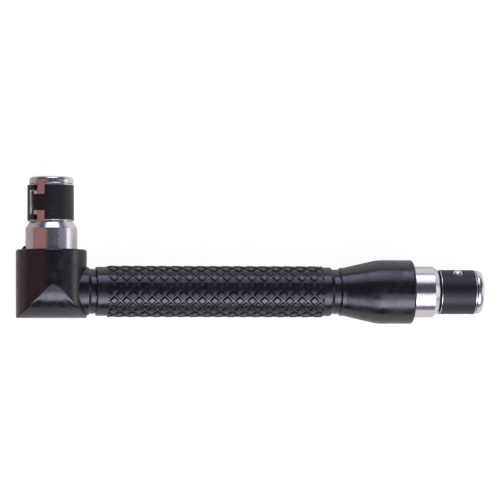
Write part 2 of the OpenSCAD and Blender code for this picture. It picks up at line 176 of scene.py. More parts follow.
class DriverBellSizes(bpy.types.PropertyGroup):
    start: length("Bell start", 74.25, "Distance from the hub's axis to the bell")
    end: length("Bell end", 93.38, "Distance from the hub's axis to the bell's wide end")
    small_radius: length("Small radius", 6.23, "Radius at the small end")
    radius: length("Wide radius", 8.25, "Radius at the wide end")
    land: length("Land", 1.15, "Length of the land at the small end")
    flare: length("Flare", 8.73, "Length of the flare")
    rim: length("Rim", 0.6, "Rounding of the wide end's rim")


class DriverHolderSizes(bpy.types.PropertyGroup):
    angled_out: length("Angled barrel", 5.4, "Barrel that shows above the hub")
    straight_out: length("Straight barrel", 5.2, "Barrel that shows past the bell")
    barrel_radius: length("Barrel radius", 6.6, "Radius of the barrel")
    barrel_sunk: length("Barrel sunk", 3, "Barrel hidden in the black piece")
    angled_shoulder: length("Angled shoulder", 1.65,
                            "Length of the angled holder's tapered shoulder")
    straight_shoulder: length("Straight shoulder", 1.35,
                              "Length of the straight holder's tapered shoulder")
    shoulder_radius: length("Shoulder end", 5.55, "Radius at the small end of the shoulder")
    angled_nose: length("Angled nose", 16.78, "Height of the nose ring above the hub")
    straight_nose: length("Straight nose", 16.43, "Distance of the nose ring from the bell")
    angled_recess: length("Angled recess", 5.33, "Radius of the angled holder's recess floor")
    straight_recess: length("Straight recess", 5.1, "Radius of the straight holder's recess floor")
    nose_radius: length("Nose radius", 5.65, "Radius of the nose ring")
    nose: length("Nose", 1.82, "Length of the nose ring")
    angled_round: length("Angled nose edge", 0.8, "Rounding of the angled holder's nose ring")
    straight_round: length("Straight nose edge", 1.3, "Rounding of the straight holder's nose ring")
    socket_flats: length("Socket flats", 6.47, "Width across the flats of the hexagon")
    socket_depth: length("Socket depth", 12.7, "Depth of the hexagon")
    pilot_radius: length("Pilot radius", 3.035, "Radius of the round bore past the hexagon")
    flare: length("Mouth flare", 0.35, "Width of the lead-in past the hexagon's corners")
    shank_flats: length("Shank flats", 8, "Width across the flats of the shank")
    angled_band: length("Angled band", 5.95, "Outer radius of the angled holder's spring band")
    straight_band: length("Straight band", 5.74,
                          "Outer radius of the straight holder's tighter spring band")
    angled_lean: length("Angled band lean", 0.2,
                        "How far the looser band stands off towards its notch")
    band_wall: length("Band wall", 0.42, "Thickness of the spring band")
    band_length: length("Band length", 9.24, "Length of the spring band")
    burr: length("Burr", 0.2, "Depth of the burr under the notch's floor")
    bare_rim: length("Bare rim", 0.2, "Width of the rubbed steel along the band's two rims")
    band_gap: length("Band gap", 0.2, "Gap between the band and the nose ring")
    hole_radius: length("Hole radius", 1.55, "Radius of the hole that the ball sits in")
    tongue: length("Tongue", 4.1, "Width of the tongue on one end of the band")
    jaw_gap: length("Jaw gap", 0.95, "Gap on each side of the tongue")
    ball_radius: length("Ball radius", 1.6, "Radius of the catch ball")
    ball_out: length("Ball out", 4.7, "Distance of the ball from the holder's axis")


class DriverColours(bpy.types.PropertyGroup):
    coat: colour("Coat", "#131217", "Black powder coat of the handle")
    coat_light: colour("Coat highlight", "#201F25", "Lighter flecks in the coat")
    dust: colour("Dust", "#6E6C70", "Specks of dust under the coat's gloss")
    chrome: colour("Chrome", "#D6D5D8", "Bright chrome plate")
    spring: colour("Spring", "#131216", "Blackened spring steel")
    scratch: colour("Scratch", "#77767A", "Fine scratches in the blackened bands")
    cut: colour("Cut edge", "#F0EFF0", "Bare steel at the band's cut notch")
    # Painted shade: a nearly black colour on the floor of the gap beside the straight band
    gap_shade: colour("Gap shade", "#0A0A0B", "Painted shade in the gap beside the straight band")
    ball: colour("Ball", "#CFCFD2", "Polished ball")
    rod: colour("Rod", "#A3A4A8", "Bare drawn rod")


GROUPS = {
    "driver_head": DriverHeadSizes,
    "driver_grip": DriverGripSizes,
    "driver_bell": DriverBellSizes,
    "driver_holder": DriverHolderSizes,
    "driver_colours": DriverColours,
}


# ---- mesh making ----

def rounded(corners):
    """A profile of (radius, height) corners with a third number where a corner is rounded.

    Each rounded corner becomes an arc with a support point just before and after it, so that
    the smooth shading of the faces beside it stays flat."""
    out = []
    count = len(corners)
    for i, corner in enumerate(corners):
        at = np.array(corner[:2], float)
        radius = corner[2] if len(corner) > 2 else 0
        if not radius:
            out.append(at)
            continue
        neighbours = corners[i - 1], corners[(i + 1) % count]
        a, b = (np.array(near[:2], float) - at for near in neighbours)
        a_len, b_len = np.linalg.norm(a), np.linalg.norm(b)
        a, b = a / a_len, b / b_len
        half = math.acos(max(-1, min(1, float(a @ b)))) / 2
        # An arc takes just under half of a side, or what the next corner's arc leaves of it
        reach = [
            max(0.46 * side_len, 0.97 * side_len - 1.1 * (near[2] if len(near) > 2 else 0))
            for side_len, near in zip((a_len, b_len), neighbours)
        ]
        back = min(radius / math.tan(half), *reach)
        radius = back * math.tan(half)
        centre = at + (a + b) / np.linalg.norm(a + b) * radius / math.sin(half)
        first, last = at + a * back, at + b * back
        support = min(0.04 * MM, 0.04 * min(a_len, b_len))
        out.append(first + a * support)
        u, v = first - centre, last - centre
        angle = math.acos(max(-1, min(1, float(u @ v) / radius ** 2)))
        side = v - u * math.cos(angle)
        side = side / np.linalg.norm(side) * radius
        for k in range(FILLET_STEPS + 1):
            t = angle * k / FILLET_STEPS
            out.append(centre + u * math.cos(t) + side * math.sin(t))
        out.append(last + b * support)
    return out


def ring(radius, height):
    """A row of points round the axis. The radius and the height may vary from column to column."""
    t = COLUMN_TURNS
    r, z = np.broadcast_to(radius, t.shape), np.broadcast_to(height, t.shape)
    return np.column_stack((r * np.cos(t), r * np.sin(t), z))


def hexagon(flats):
    """Radius of a hexagon at each column, with a corner at the first."""
    return flats / 2 / np.cos((COLUMN_TURNS % (math.pi / 3)) - math.pi / 6)


def pole(height):
    return np.array([[0, 0, height]], float)


def loft(rows, closed=False):
    """Points and faces of a surface through rows of points. A row of one point is a pole."""
    points, faces, starts = [], [], []
    for row in rows:
        starts.append(len(points))
        points.extend(row)
    pairs = list(zip(range(len(rows) - 1), range(1, len(rows))))
    if closed:
        pairs.append((len(rows) - 1, 0))
    for a, b in pairs:
        n = max(len(rows[a]), len(rows[b]))
        for i in range(n):
            j = (i + 1) % n
            a0, b0 = starts[a], starts[b]
            if len(rows[a]) == 1:
                faces.append((a0, b0 + j, b0 + i))
            elif len(rows[b]) == 1:
                faces.append((a0 + i, a0 + j, b0))
            else:
                faces.append((a0 + i, a0 + j, b0 + j, b0 + i))
    return points, faces


def turned(profile):
    """A closed ring-shaped solid, turned from a closed profile."""
    return loft([ring(r, z) for r, z in rounded(profile)], closed=True)


def open_rows(profile):
    """Rows of a turned surface along an open profile, without its first and last corner."""
    return [ring(r, z) for r, z in rounded(profile)[1:-1]]


def divided(stops, step):
    """Numbers about a step apart from the first stop up to before the last, with every stop."""
    out = []
    for a, b in zip(stops[:-1], stops[1:]):
        steps = max(1, round((b - a) / step))
        out += [a + (b - a) * i / steps for i in range(steps)]
    return out


def joined(*parts):
    """One list of points and faces out of several."""
    points, faces = [], []
    for p, f in parts:
        base = len(points)
        points.extend(p)
        faces.extend(tuple(i + base for i in face) for face in f)
    return points, faces


def shade(mesh, sharp=SHARP_ANGLE):
    """Shades a mesh smooth, and keeps the edges sharp whose faces meet at a larger angle."""
    mesh.polygons.foreach_set("use_smooth", [True] * len(mesh.polygons))
    mesh.set_sharp_from_angle(angle=sharp)


def piece(name, parts, placing, finish):
    """An object from points and faces, moved into the row's frame, with outward normals."""
    points, faces = parts
    mesh = bpy.data.meshes.new(name)
    mesh.from_pydata([tuple(p) for p in points], [], faces)
    mesh.transform(placing)
    bm = bmesh.new()
    bm.from_mesh(mesh)
    bmesh.ops.remove_doubles(bm, verts=bm.verts, dist=WELD_DISTANCE)
    bmesh.ops.recalc_face_normals(bm, faces=bm.faces)
    bm.to_mesh(mesh)
    bm.free()
    shade(mesh)
    mesh.materials.append(material_named(finish))
    obj = bpy.data.objects.new(name, mesh)
    bpy.context.scene.collection.objects.link(obj)
    return obj


def united(target, tool, operation="UNION"):
    """Joins tool into target as one solid, or cuts it out of target, and removes tool."""
    modifier = target.modifiers.new("join", "BOOLEAN")
    modifier.operation, modifier.solver, modifier.object = operation, "EXACT", tool
    graph = bpy.context.evaluated_depsgraph_get()
    mesh = bpy.data.meshes.new_from_object(target.evaluated_get(graph))
    target.modifiers.clear()
    target.data = mesh
    bpy.data.objects.remove(tool)
    return target


def placing_holder(side):
    """Where a holder stands: z out of its mouth from the black face, x towards its ball."""
    scene = bpy.context.scene
    if side == "straight":
        face, upright, turn = Vector((scene.driver_bell.end, 0, 0)), ALONG_GRIP, 120
    else:
        face, upright, turn = Vector((0, scene.driver_head.hub_top, 0)), UP_HUB, 60
    turned_to_ball = Matrix.Rotation(math.radians(turn), 4, "Z")
    return Matrix.Translation(CROSSING + face) @ upright @ turned_to_ball


# ---- materials ----

def first_output(source):
    """A node's first output that is in use, or the output itself."""
    if isinstance(source, bpy.types.NodeSocket):
        return source
    return next(socket for socket in source.outputs if socket.enabled)


def add(tree, kind, links=None, to=None, **settings):
    """Adds a shader node and sets its fields or inputs by name. Links join its inputs to nodes
    or outputs, or set numbers; a node or output alone goes to the first input. The node's own
    first output goes to the shader's input that to names."""
    node = tree.nodes.new("ShaderNode" + kind)
    for key, value in settings.items():
        if hasattr(node, key):
            setattr(node, key, value)
        else:
            node.inputs[key.replace("_", " ")].default_value = value
    if links and not isinstance(links, dict):
        links = {0: links}
    for key, source in (links or {}).items():
        if isinstance(source, float):
            node.inputs[key].default_value = source
        else:
            tree.links.new(first_output(source), node.inputs[key])
    if to:
        tree.links.new(first_output(node), tree.nodes["Principled BSDF"].inputs[to])
    return node


def panel_colour(name):
    """One of the panel's colours, with alpha."""
    return (*getattr(bpy.context.scene.driver_colours, name), 1)


def surface(name, base=None, **constants):
    """A new material, its tree, and the place on the piece that its patterns are laid out by."""
    material = bpy.data.materials.new(name)
    material.use_nodes = True
    tree = material.node_tree
    inputs = tree.nodes["Principled BSDF"].inputs
    if base:
        inputs["Base Color"].default_value = panel_colour(base)
    for key, value in constants.items():
        inputs[key.replace("_", " ")].default_value = value
    return material, tree, add(tree, "TexCoord").outputs["Object"]


def per_mm(size):
    """Scale of a noise or Voronoi texture whose features are this many millimetres across."""
    return 1 / (size * MM)


def coat_material(name):
    """Black powder coat: polyester powder baked on cast zinc."""
    # Semi-gloss in soft blotches, with a fine orange peel about 0.5 mm across and specks of dust
    # under the gloss
    material, tree, where = surface(name, Specular_IOR_Level=0.62)
    mottle = add(tree, "TexNoise", where, Scale=per_mm(2.5), Detail=4.0)
    tint = add(tree, "Mix", mottle, data_type="RGBA",
               A=panel_colour("coat"), B=panel_colour("coat_light"))
    dust = add(tree, "TexVoronoi", where, Scale=per_mm(2.6))
    speck = add(tree, "MapRange", dust, From_Min=0.025, From_Max=0.05,
                To_Min=1, To_Max=0)
    add(tree, "Mix", {"Factor": speck, "A": tint}, data_type="RGBA",
        B=panel_colour("dust"), to="Base Color")
    add(tree, "MapRange", mottle, From_Min=0.35, From_Max=0.65,
        To_Min=0.16, To_Max=0.35, to="Roughness")
    peel = add(tree, "TexNoise", where, Scale=per_mm(0.55), Detail=2.0)
    grain = add(tree, "TexNoise", where, Scale=per_mm(0.16), Detail=1.0)
    both = add(tree, "Math", {0: peel, 1: grain}, operation="ADD")
    swell = add(tree, "Math", {0: mottle, 1: 2.5, 2: both}, operation="MULTIPLY_ADD")
    add(tree, "Bump", {"Height": swell}, Strength=0.25, Distance=0.03 * MM, to="Normal")
    return material


def chrome_material(name, across):
    """Bright chrome plate on turned steel."""
    # The lathe's feed lines, really about 0.15 mm apart, are drawn 0.3 mm apart so that they
    # show. The thin plate also has shallow pits about 0.4 mm across and cloudy stains
    material, tree, where = surface(name, "chrome", Metallic=1.0)
    flat = add(tree, "Mapping", where, Scale=across)
    rings = add(tree, "TexNoise", flat, Scale=per_mm(0.3), Detail=3.0)
    stain = add(tree, "TexNoise", where, Scale=per_mm(3), Detail=3.0)
    add(tree, "MapRange", stain, To_Min=0.17, To_Max=0.27, to="Roughness")
    pits = add(tree, "TexNoise", where, Scale=per_mm(0.4), Detail=2.0)
    both = add(tree, "Math", {0: pits, 1: 1.4, 2: rings}, operation="MULTIPLY_ADD")
    add(tree, "Bump", {"Height": both}, Strength=0.7, Distance=0.03 * MM, to="Normal")
    return material


def spring_material(name):
    """Spring steel strip, blackened by hot oxide and oiled."""
    # The oxide leaves the strip nearly black with a cloudy satin sheen, and use has left a few
    # fine scratches in it
    material, tree, where = surface(name)
    cloud = add(tree, "TexNoise", where, Scale=per_mm(1.5), Detail=4.0)
    across = add(tree, "Mapping", where, Rotation=(0.9, 0.8, 1.1),
                 Scale=(0.12, 1, 1))
    lines = add(tree, "TexNoise", across, Scale=per_mm(0.22), Detail=1.0)
    marks = add(tree, "MapRange", lines, From_Min=0.7, From_Max=0.78,
                To_Max=0.6)
    add(tree, "Mix", marks, data_type="RGBA", A=panel_colour("spring"),
        B=panel_colour("scratch"), to="Base Color")
    add(tree, "MapRange", cloud, To_Min=0.4, To_Max=0.52, to="Roughness")
    fine = add(tree, "TexNoise", where, Scale=per_mm(0.2), Detail=1.0)
    add(tree, "Bump", {"Height": fine}, Strength=0.15, Distance=0.01 * MM, to="Normal")
    return material


def gap_shade_material(name):
    """A dull, nearly black surface, painted shade for the gap beside the straight band."""
    # It is dull and nearly black, with lumpy roughness and bumps, and stands in for the shade that
    # falls in the gap
    material, tree, where = surface(name, "gap_shade")
    lumps = add(tree, "TexNoise", where, Scale=per_mm(0.3), Detail=3.0)
    add(tree, "MapRange", lumps, To_Min=0.55, To_Max=0.8, to="Roughness")
    add(tree, "Bump", {"Height": lumps}, Strength=0.5, Distance=0.03 * MM, to="Normal")
    return material


def rod_material(name):
    """Bare hexagonal steel bar, cold drawn."""
    # Drawing leaves fine scratches along the bar and a dull grey sheen
    material, tree, where = surface(name, "rod", Metallic=1.0)
    flat = add(tree, "Mapping", where, Scale=(0.03, 1, 1))
    lines = add(tree, "TexNoise", flat, Scale=per_mm(0.1), Detail=2.0)
    add(tree, "MapRange", lines, To_Min=0.3, To_Max=0.45, to="Roughness")
    return material


def bare_steel_material(name, base, patch, detail, smoothest, roughest):
    """Bare steel whose gloss changes between patches that are so many millimetres across."""
    material, tree, where = surface(name, base, Metallic=1.0)
    cloud = add(tree, "TexNoise", where, Scale=per_mm(patch), Detail=detail)
    add(tree, "MapRange", cloud, To_Min=smoothest, To_Max=roughest,
        to="Roughness")
    return material


# How each material is made. The lathe's rings run round the axis of their own holder, so the
# chrome's pattern is drawn out along the other two directions
COAT = "black_powder_coat_on_cast_zinc"
OXIDE = "black_oxide_on_spring_steel"
FINISHES = {
    COAT: (coat_material,),
    "angled_holder_chrome_on_turned_steel": (chrome_material, (0.02, 1, 0.02)),
    "straight_holder_chrome_on_turned_steel": (chrome_material, (1, 0.02, 0.02)),
    OXIDE: (spring_material,),
    # The strip was sheared after blackening, which leaves a bright, finely torn grain
    "sheared_spring_steel": (bare_steel_material, "cut", 0.15, 2.0, 0.6, 0.75),
    # Rubbing has worn the oxide off and polished the steel, so it flashes in the light and is
    # dark elsewhere
    "rubbed_bright_spring_steel": (bare_steel_material, "ball", 0.6, 3.0, 0.2, 0.34),
    # Painted shade: a dull, nearly black material on the floor of the gap beside the straight band
    "painted_shade_in_gap": (gap_shade_material,),
    # Ground and polished, then rolled over by many bits to a soft, slightly cloudy shine
    "polished_bearing_steel": (bare_steel_material, "ball", 0.8, 2.0, 0.24, 0.34),
    "cold_drawn_steel": (rod_material,),
}


def material_named(name):
    """A material, made the first time that it is asked for."""
    make, *details = FINISHES[name]
    return bpy.data.materials.get(name) or make(name, *details)


# ---- pieces ----

def hub_rows(head, holder):
    """Rows of the hub from the pocket's floor, over the rim, down the wall and under."""
    wall, pocket = head.hub_radius, holder.barrel_radius + POCKET_FIT
    top, floor = head.hub_top, head.hub_top - holder.barrel_sunk
    rows = [pole(floor)] + open_rows([
        (0, floor), (pocket, floor), (pocket, top, POCKET_EDGE), (wall, top, head.hub_round),
        (wall, top - 2 * head.hub_round),
    ])

    def under(radius):
        across = radius * np.sin(COLUMN_TURNS)
        return head.under_lift - np.sqrt(head.under_radius ** 2 - across ** 2)

    edge, soft = under(wall), head.crease
    start = top - head.hub_round - 0.05 * MM
    for share in np.linspace(0, 1, WALL_ROWS)[:-1]:
        rows.append(ring(wall, start + (edge + soft * 1.1 - start) * share))
    # The crease is a quadratic curve from the wall, by the sharp edge, to the underside
    inner = wall - soft
    for s in np.linspace(0, 1, CREASE_ROWS):
        a, b, c = (1 - s) ** 2, 2 * s * (1 - s), s ** 2
        height = a * (edge + soft) + b * edge + c * under(inner)
        rows.append(ring((a + b) * wall + c * inner, height))
    for share in np.linspace(1, 0, UNDERSIDE_ROWS)[:-1]:
        radius = (inner - 0.05 * MM) * share
        rows.append(ring(radius, under(radius)))
    rows.append(pole(head.under_lift - head.under_radius))
    return rows


def flash_parts(holder):
    """The pointed flake of flash that the mould left on the hub's edge, beside the barrel."""
    outline = [(0, -0.4), (1.1, -0.4), (1.1, 0.05), (0.34, 0.98), (0.2, 1.03), (0, 1.03)]
    points, faces = loft([
        [
            (holder.barrel_radius + (0.05 + x * share) * MM, side * MM, z * share * MM)
            for x, z in outline
        ]
        for side, share in ((-0.2, 0.8), (-0.12, 1), (0.12, 1), (0.2, 0.8))
    ])
    last = len(points)
    return points, faces + [tuple(range(len(outline))), tuple(range(last - len(outline), last))]


def groove_and_spigot(grip, radius, end, next_start):
    """Corners from a black piece's end, down its groove and relief, to the spigot past them."""
    neck, relief_start = grip.neck_radius, next_start - grip.relief
    relief, spigot_end = neck - grip.relief_depth, next_start + SPIGOT_LENGTH
    return [
        (radius, end, GROOVE_EDGE), (neck, end + grip.chamfer, GROOVE_EDGE),
        (neck, relief_start, RELIEF_EDGE), (relief, relief_start), (relief, next_start),
        (SPIGOT, next_start), (SPIGOT, spigot_end), (ROD_BORE, spigot_end),
    ]


class DRIVER_OT_head(bpy.types.Operator):
    """Build the black hub with its boss, rounded underside and pocket for the barrel"""
    bl_idname = "driver.head"
    bl_label = "Angle Head"

    def execute(self, context):
        scene = context.scene
        head, grip, holder = scene.driver_head, scene.driver_grip, scene.driver_holder
        hub = piece("hub_head", loft(hub_rows(head, holder)), ON_HUB, COAT)
        boss = piece("boss", turned([
            (ROD_BORE, BOSS_ROOT), (head.boss_radius, BOSS_ROOT),
            *groove_and_spigot(grip, head.boss_radius, head.boss_end, grip.start),
        ]), ON_GRIP, COAT)
        hub = united(hub, boss)
        on_top = ON_HUB @ Matrix.Translation((0, 0, head.hub_top))
        far_side = Matrix.Rotation(math.radians(172), 4, "Z")
        hub = united(hub, piece("flash", flash_parts(holder), on_top @ far_side, COAT))
        shade(hub.data)
        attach(hub, "driver")
        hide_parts("angle_head")
        return {"FINISHED"}


def knurl_parts(grip):
    """The sleeve of diamonds: rings of points round each diamond, from channel to flat top."""
    # Columns and rows are counted in half pitches, and a diamond reaches one of each every way
    step = grip.pitch / 2
    around = grip.diamonds_round
    row_turn = math.pi / around
    total = grip.knurl_end - grip.knurl_start
    first = grip.first_diamond / step - 1
    margin, tuck = 0.02 * MM, 0.1 * MM
    low, high = margin / step - first, (total - margin) / step - first
    last = math.floor(high + 0.4)
    rise = grip.pad_radius - grip.floor_radius
    # Distance from a diamond's centre as a share of its cell, the height there, and the
    # roundness of its corners: 1 is a sharp diamond
    levels = [
        (1.0, 0.0, 1.0), (0.86, 0.0, 1.0), (0.81, 0.04, 1.01), (0.77, 0.15, 1.02),
        (0.61, 0.8, 1.05), (0.565, 0.94, 1.06), (0.51, 0.99, 1.08), (0.4, 1.0, 1.08),
    ]
    side_points = 5
    corners = [(-1, 0), (0, 1), (1, 0), (0, -1)]
    angles = []
    for a, b in zip(corners, corners[1:] + corners[:1]):
        for k in range(side_points):
            f = k / side_points
            angles.append(((1 - f) * a[0] + f * b[0], (1 - f) * a[1] + f * b[1]))
    angles = np.array(angles)
    n = len(angles)
    points, faces = [], []

    def around_point(column, row, radius, edge):
        if not edge:
            x = (first + min(max(column, low), high)) * step
        elif column <= 1e-6:
            x = -tuck
        elif column >= last - 1e-6:
            x = total + tuck
        else:
            x = (first + column) * step
        a = grip.turn + row * row_turn
        return (radius * -math.cos(a), radius * math.sin(a), grip.knurl_start + x)

    for column in range(last + 1):
        for k in range(around):
            row = 2 * k + column % 2
            base = len(points)
            for share, height, power in levels:
                edge, radius = share == 1.0, grip.floor_radius + rise * height
                size = np.abs(angles[:, 0]) ** power + np.abs(angles[:, 1]) ** power
                scale = share / size ** (1 / power)
                for dc, dr in angles * scale[:, None]:
                    held = min(max(column + dc, low), high)
                    if not edge and held != column + dc:
                        wide = max(share - abs(held - column), 0)
                        dr = min(max(dr, -wide), wide)
                    points.append(around_point(column + dc, row + dr, radius, edge))
            points.append(around_point(column, row, grip.pad_radius, False))
            for level in range(len(levels) - 1):
                for i in range(n):
                    j = (i + 1) % n
                    a, b = base + level * n, base + (level + 1) * n
                    faces.append((a + i, a + j, b + j, b + i))
            top = base + (len(levels) - 1) * n
            faces += [(top + i, top + (i + 1) % n, base + len(levels) * n) for i in range(n)]
    return points, faces


class DRIVER_OT_grip(bpy.types.Operator):
    """Build the grip: its smooth bands, groove and spigot, and the sleeve of raised diamonds"""
    bl_idname = "driver.grip"
    bl_label = "Knurled Grip"

    def execute(self, context):
        grip, bell = context.scene.driver_grip, context.scene.driver_bell
        band, socket_end = grip.band_radius, grip.start + SPIGOT_SOCKET_DEPTH
        core = turned([
            (SPIGOT_SOCKET, grip.start), (band, grip.start, 0.38 * MM),
            (band, grip.knurl_start, SLEEVE_EDGE), (KNURL_CORE, grip.knurl_start),
            (KNURL_CORE, grip.knurl_end), (band, grip.knurl_end, SLEEVE_EDGE),
            *groove_and_spigot(grip, band, grip.band_end, bell.start),
            (ROD_BORE, socket_end), (SPIGOT_SOCKET, socket_end),
        ])
        knurled = piece("knurled_grip", joined(core, knurl_parts(grip)), ON_GRIP, COAT)
        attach(knurled, "driver")
        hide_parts("grip")
        return {"FINISHED"}


class DRIVER_OT_bell(bpy.types.Operator):
    """Build the flared bell that carries the straight holder"""
    bl_idname = "driver.bell"
    bl_label = "Flared Bell"

    def execute(self, context):
        bell, holder = context.scene.driver_bell, context.scene.driver_holder
        pocket, sunk = holder.barrel_radius + POCKET_FIT, bell.end - holder.barrel_sunk
        land_end, socket_end = bell.start + bell.land, bell.start + SPIGOT_SOCKET_DEPTH
        pocket_end = sunk - SHANK_POCKET_DEPTH
        flared = piece("flared_bell", turned([
            (SPIGOT_SOCKET, bell.start), (bell.small_radius, bell.start, 0.35 * MM),
            (bell.small_radius, land_end, 1.5 * MM), (bell.radius, land_end + bell.flare, 14 * MM),
            (bell.radius, bell.end, bell.rim), (pocket, bell.end, POCKET_EDGE), (pocket, sunk),
            (SHANK_POCKET, sunk), (SHANK_POCKET, pocket_end), (ROD_BORE, pocket_end),
            (ROD_BORE, socket_end), (SPIGOT_SOCKET, socket_end),
        ]), ON_GRIP, COAT)
        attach(flared, "driver")
        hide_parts("end_bell")
        return {"FINISHED"}


def heights(holder, side):
    """Where a holder's barrel, shoulder, recess and nose end, from the black face behind it."""
    out, shoulder, nose = (getattr(holder, side + end) for end in ("_out", "_shoulder", "_nose"))
    return out, out + shoulder, nose, nose + holder.nose


def band_middle(holder, side):
    """Height of the ball and of the middle of the band."""
    return heights(holder, side)[2] - holder.band_gap - holder.band_length / 2


def gap_end(holder, side):
    """Height at which the gap between shoulder and band is out of sight under the band."""
    return heights(holder, side)[2] - holder.band_gap - holder.band_length + 0.25 * MM


def holder_rows(holder, side):
    """Rows of a bit holder, from the end of its shank round its outside and into its socket."""
    out, shoulder, nose, tip = heights(holder, side)
    recess, edge = getattr(holder, side + "_recess"), getattr(holder, side + "_round")
    sunk, barrel, shank = -holder.barrel_sunk, holder.barrel_radius, hexagon(holder.shank_flats)
    shank_end = sunk - SHANK_LENGTHS[side]
    flare = holder.socket_flats / 2 / math.cos(math.pi / 6) + holder.flare
    rows = [pole(shank_end), ring(shank, shank_end), ring(shank, sunk)] + open_rows([
        (4 * MM, sunk), (barrel - BARREL_CHAMFER, sunk), (barrel, sunk + BARREL_CHAMFER),
        (barrel, out, 0.12 * MM), (holder.shoulder_radius, shoulder, 0.1 * MM),
        (recess, shoulder), (recess, gap_end(holder, side)), (recess, nose),
        (holder.nose_radius, nose, 0.2 * MM), (holder.nose_radius, tip, edge),
        (flare, tip, 0.08 * MM), (flare - 0.3 * MM, tip - 0.3 * MM),
    ])
    # The socket: its lead-in, the hexagon, the pilot bore and the point that the drill left
    socket, pilot = hexagon(holder.socket_flats), holder.pilot_radius
    bottom = tip - holder.socket_depth
    pilot_end = bottom - 1 * MM
    return rows + [
        ring(socket, tip - (flare - socket)), ring(socket, bottom), ring(pilot, bottom),
        ring(pilot, pilot_end), pole(pilot_end - pilot * math.tan(math.pi / 6)),
    ]


def shade_gap_floor(mesh, to_holder, holder):
    """Gives the floor of the gap between the straight shoulder and band the second material,
    painted shade.
    """
    for face in mesh.polygons:
        at = to_holder @ face.center
        on_floor = abs(math.hypot(at.x, at.y) - holder.straight_recess) < TOUCH
        if on_floor and at.z < gap_end(holder, "straight"):
            face.material_index = 1


class DRIVER_OT_holders(bpy.types.Operator):
    """Build the two chromed bit holders with their hexagonal sockets"""
    bl_idname = "driver.holders"
    bl_label = "Bit Holders"

    def execute(self, context):
        holder = context.scene.driver_holder
        for side in ("angled", "straight"):
            name = side + "_holder"
            chrome = name + "_chrome_on_turned_steel"
            placing = placing_holder(side)
            body = piece(name + "_body", loft(holder_rows(holder, side)), placing, chrome)
            at_ball = Matrix.Translation((0, 0, band_middle(holder, side)))
            outward = at_ball @ Matrix.Rotation(math.radians(90), 4, "Y")
            seat, at = holder.ball_radius + SEAT_FIT, holder.ball_out
            drill = piece("drill", loft([
                pole(at - seat / math.sin(SEAT_ANGLE)),
                ring(seat * math.cos(SEAT_ANGLE), at - seat * math.sin(SEAT_ANGLE)),
                ring(seat, at), ring(seat, DRILL_END), pole(DRILL_END),
            ]), placing @ outward, chrome)
            body = united(body, drill, "DIFFERENCE")
            shade(body.data)
            if side == "straight":
                # The gap's floor gets painted shade, a nearly black second material
                body.data.materials.append(material_named("painted_shade_in_gap"))
                shade_gap_floor(body.data, placing.inverted(), holder)
            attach(body, "driver")
            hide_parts(name)
        return {"FINISHED"}


def band_parts(holder, side):
    """The split band: a grid bent to a ring, with its notch and tongue, and a round hole."""
    band_radius = getattr(holder, side + "_band")
    half, tongue = holder.band_length / 2, holder.tongue / 2
    notch, rim = tongue + holder.jaw_gap, half - holder.bare_rim
    patch = HOLE_PATCH
    mid_radius = band_radius - holder.band_wall / 2
    patch_angle = math.degrees(patch / mid_radius)
    turns = divided([
        -patch_angle, patch_angle, NOTCH_FLOOR, TONGUE_TIP, JAW_END, WINDOW_ROOT, 360 - patch_angle,
    ], BAND_TURN_STEP)
    levels = divided([
        -half, -rim, -notch, -patch, -tongue, 0, tongue, patch, notch, rim, half,
    ], BAND_LEVEL_STEP) + [half]

    def open_at(turn, height):
        turn, height = turn % 360, abs(height)
        if JAW_END < turn < WINDOW_ROOT:
            return height > tongue
        if NOTCH_FLOOR < turn < JAW_END:
            return tongue < height < notch or (turn < TONGUE_TIP and height < notch)
        return (turn < patch_angle or turn > 360 - patch_angle) and height < patch

    flat, numbers, faces = [], {}, []

    def number(turn, height):
        key = (round(turn % 360, 4), round(height * 1e7))
        if key not in numbers:
            numbers[key] = len(flat)
            flat.append((math.radians(turn), height))
        return numbers[key]

    for i, turn in enumerate(turns):
        after = turns[(i + 1) % len(turns)]
        mid = turn + ((after - turn) % 360) / 2
        for low, high in zip(levels[:-1], levels[1:]):
            if not open_at(mid, (low + high) / 2):
                corners = (turn, low), (after, low), (after, high), (turn, high)
                faces.append(tuple(number(*corner) for corner in corners))
    # The hole's patch: its square edge is walked once round and drawn in to a circle
    across = [t for t in turns if t < patch_angle + 1e-6]
    up = [h for h in levels if abs(h) < patch + 1e-9]
    edge = [(t, -patch) for t in across[:-1]] + [(patch_angle, h) for h in up[:-1]]
    edge += [(t, patch) for t in across[:0:-1]] + [(-patch_angle, h) for h in up[:0:-1]]
    previous = [number(t, h) for t, h in edge]
    for share in (0.35, 0.65, 0.88, 1.0):
        current = []
        for t, h in edge:
            x, y = math.radians(t) * mid_radius, h
            reach = holder.hole_radius / math.hypot(x, y)
            x, y = x + (x * reach - x) * share, y + (y * reach - y) * share
            current.append(number(math.degrees(x / mid_radius), y))
        for i in range(len(edge)):
            j = (i + 1) % len(edge)
            faces.append((previous[i], previous[j], current[j], current[i]))
        previous = current
    used = dict.fromkeys(pair for face in faces for pair in zip(face, face[1:] + face[:1]))
    centre = band_middle(holder, side)
    points = [(band_radius * math.cos(t), band_radius * math.sin(t), centre + h) for t, h in flat]
    inner_radius = band_radius - holder.band_wall
    for t, h in flat:
        # Shearing has drawn the notch's floor down into a burr
        near_floor = max(0, 1 - abs(math.degrees(t) - NOTCH_FLOOR) / BURR_WIDTH)
        radius = inner_radius - holder.burr * near_floor * (abs(h) < notch + 0.1 * MM)
        points.append((radius * math.cos(t), radius * math.sin(t), centre + h))
    count = len(flat)
    inner = [tuple(i + count for i in reversed(face)) for face in faces]
    walls = [(b, a, a + count, b + count) for a, b in used if (b, a) not in used]
    return points, faces + inner + walls


